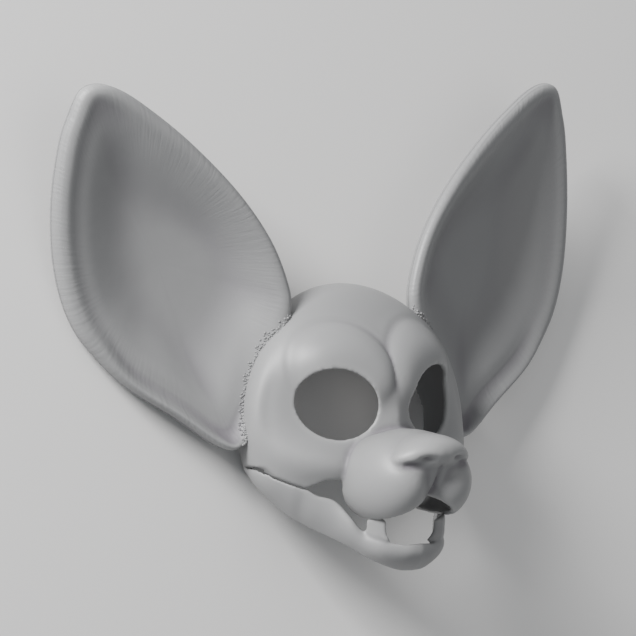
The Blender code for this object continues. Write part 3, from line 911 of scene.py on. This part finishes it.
def fine_grain_group():
    """Height of the casting's fine grain and broad hand-smoothed waves, in metres."""
    group, given, result = group_with(
        "fine_grain",
        [("Grain", "NodeSocketFloat", 0.00002), ("Waves", "NodeSocketFloat", 0.0002)],
        [("Height", "NodeSocketFloat")],
    )
    place = group.nodes.new("ShaderNodeTexCoord")
    heights = []
    for scale, detail, label in ((900, 3, "Grain"), (45, 2, "Waves")):
        noise = group.nodes.new("ShaderNodeTexNoise")
        noise.inputs["Scale"].default_value = scale
        noise.inputs["Detail"].default_value = detail
        group.links.new(place.outputs["Object"], noise.inputs["Vector"])
        heights.append(math_node(group, "MULTIPLY", noise.outputs["Fac"], given.outputs[label]))
    group.links.new(math_node(group, "ADD", *heights), result.inputs["Height"])
    return group


def brushed_rim_group():
    """Height of short brush strokes that run across the ear's rim, fading towards the cup."""
    group, given, result = group_with(
        "brushed_rim",
        [("Depth", "NodeSocketFloat", 0.0004), ("Fade", "NodeSocketFloat", 0.03)],
        [("Height", "NodeSocketFloat")],
    )
    rim = group.nodes.new("ShaderNodeUVMap")
    rim.uv_map = "rim"
    stretch = group.nodes.new("ShaderNodeMapping")
    stretch.inputs["Scale"].default_value = (230, 60, 1)
    group.links.new(rim.outputs["UV"], stretch.inputs["Vector"])
    noise = group.nodes.new("ShaderNodeTexNoise")
    noise.inputs["Scale"].default_value = 1.0
    noise.inputs["Detail"].default_value = 3
    group.links.new(stretch.outputs["Vector"], noise.inputs["Vector"])
    apart = group.nodes.new("ShaderNodeSeparateXYZ")
    group.links.new(rim.outputs["UV"], apart.inputs["Vector"])
    near = math_node(group, "DIVIDE", apart.outputs["Y"], given.outputs["Fade"])
    fade = group.nodes.new("ShaderNodeMapRange")
    group.links.new(near, fade.inputs["Value"])
    fade.inputs["To Min"].default_value = 1.0
    fade.inputs["To Max"].default_value = 0.0
    strokes = math_node(group, "MULTIPLY", noise.outputs["Fac"], given.outputs["Depth"])
    group.links.new(math_node(group, "MULTIPLY", strokes, fade.outputs["Result"]), result.inputs["Height"])
    return group


CLAY_SHADE = clay_shade_group()
FINE_GRAIN = fine_grain_group()
BRUSHED_RIM = brushed_rim_group()
SEAM_BUMPS = seam_tree()


def casting_material(name, brushed):
    material = bpy.data.materials.new(name)
    material.use_nodes = True
    tree = material.node_tree
    shader = tree.nodes["Principled BSDF"]
    shade = tree.nodes.new("ShaderNodeGroup")
    shade.node_tree = CLAY_SHADE
    shade.inputs["Body"].default_value = (0.235, 0.235, 0.237, 1)
    # painted shade colour for hollows, darker and a little cooler than the body
    shade.inputs["Hollows"].default_value = (0.150, 0.142, 0.154, 1)
    # painted highlight colour for raised edges, paler than the body
    shade.inputs["Edges"].default_value = (0.29, 0.29, 0.29, 1)
    shade.inputs["Mottle"].default_value = 0.08
    grain = tree.nodes.new("ShaderNodeGroup")
    grain.node_tree = FINE_GRAIN
    height = grain.outputs["Height"]
    if brushed:
        strokes = tree.nodes.new("ShaderNodeGroup")
        strokes.node_tree = BRUSHED_RIM
        total = tree.nodes.new("ShaderNodeMath")
        total.operation = "ADD"
        tree.links.new(height, total.inputs[0])
        tree.links.new(strokes.outputs["Height"], total.inputs[1])
        height = total.outputs["Value"]
    bump = tree.nodes.new("ShaderNodeBump")
    bump.inputs["Distance"].default_value = 1.0
    tree.links.new(height, bump.inputs["Height"])
    tree.links.new(shade.outputs["Color"], shader.inputs["Base Color"])
    tree.links.new(shade.outputs["Roughness"], shader.inputs["Roughness"])
    tree.links.new(bump.outputs["Normal"], shader.inputs["Normal"])
    shader.inputs["Specular IOR Level"].default_value = 0.5
    return material


def photograph_axes():
    """Directions towards the camera, to the right and up, in the mask's frame."""
    towards = Vector((
        -math.sin(VIEW_TURN) * math.cos(VIEW_RISE),
        math.sin(VIEW_RISE),
        math.cos(VIEW_TURN) * math.cos(VIEW_RISE),
    ))
    right = Vector((math.cos(VIEW_TURN), 0, math.sin(VIEW_TURN)))
    return towards, right, towards.cross(right)


def set_camera():
    towards, right, up = photograph_axes()
    aim = right * ((FRAME_PIXELS / 2 - VIEW_MIDDLE_PIXEL) / VIEW_PIXELS_PER_METRE)
    camera_data = bpy.data.cameras.new("photo_camera")
    camera_data.sensor_width = SENSOR
    camera_data.lens = SENSOR * VIEW_PIXELS_PER_METRE * VIEW_DISTANCE / FRAME_PIXELS
    camera = bpy.data.objects.new("photo_camera", camera_data)
    bpy.context.scene.collection.objects.link(camera)
    turn = Matrix((right, up, towards)).transposed().to_4x4()
    camera.matrix_world = MASK_FRAME @ Matrix.Translation(aim + towards * VIEW_DISTANCE) @ turn
    bpy.context.scene.camera = camera


def add_softbox(name, power, size, colour, place):
    """A square light that faces the mask's middle, placed by right, up and towards the camera."""
    towards, right, up = photograph_axes()
    where = right * place[0] + up * place[1] + towards * place[2]
    light = bpy.data.lights.new(name, "AREA")
    light.energy = power
    light.size = size
    light.color = colour
    obj = bpy.data.objects.new(name, light)
    bpy.context.scene.collection.objects.link(obj)
    facing = where.to_track_quat("Z", "Y").to_matrix().to_4x4()
    obj.matrix_world = MASK_FRAME @ Matrix.Translation(where) @ facing


def set_studio():
    bm = bmesh.new()
    bmesh.ops.create_grid(bm, x_segments=2, y_segments=2, size=6)
    mesh = bpy.data.meshes.new("floor")
    bm.to_mesh(mesh)
    bm.free()
    floor = bpy.data.objects.new("floor", mesh)
    floor.location.z = -0.0002
    bpy.context.scene.collection.objects.link(floor)
    paint = bpy.data.materials.new("floor_paint")
    paint.use_nodes = True
    shader = paint.node_tree.nodes["Principled BSDF"]
    shader.inputs["Base Color"].default_value = (0.80, 0.79, 0.78, 1)
    shader.inputs["Roughness"].default_value = 0.8
    mesh.materials.append(paint)
    add_softbox("key", 150, 0.9, (1.0, 1.0, 1.0), (-1.3, 1.5, 1.5))
    add_softbox("fill", 8, 2.0, (1.0, 0.95, 0.9), (1.8, 0.1, 1.5))
    world = bpy.data.worlds.new("studio")
    bpy.context.scene.world = world
    world.use_nodes = True
    world.node_tree.nodes["Background"].inputs["Color"].default_value = (0.92, 0.96, 1.0, 1)
    world.node_tree.nodes["Background"].inputs["Strength"].default_value = 0.38


set_camera()
set_studio()
casting = casting_material("satin_casting", False)
brushed_casting = casting_material("brushed_ear_casting", True)
head = make_head(casting)
for side in (-1, 1):
    ear = make_ear(side, brushed_casting)
    make_seam(ear, head, casting)
make_jaw(casting)
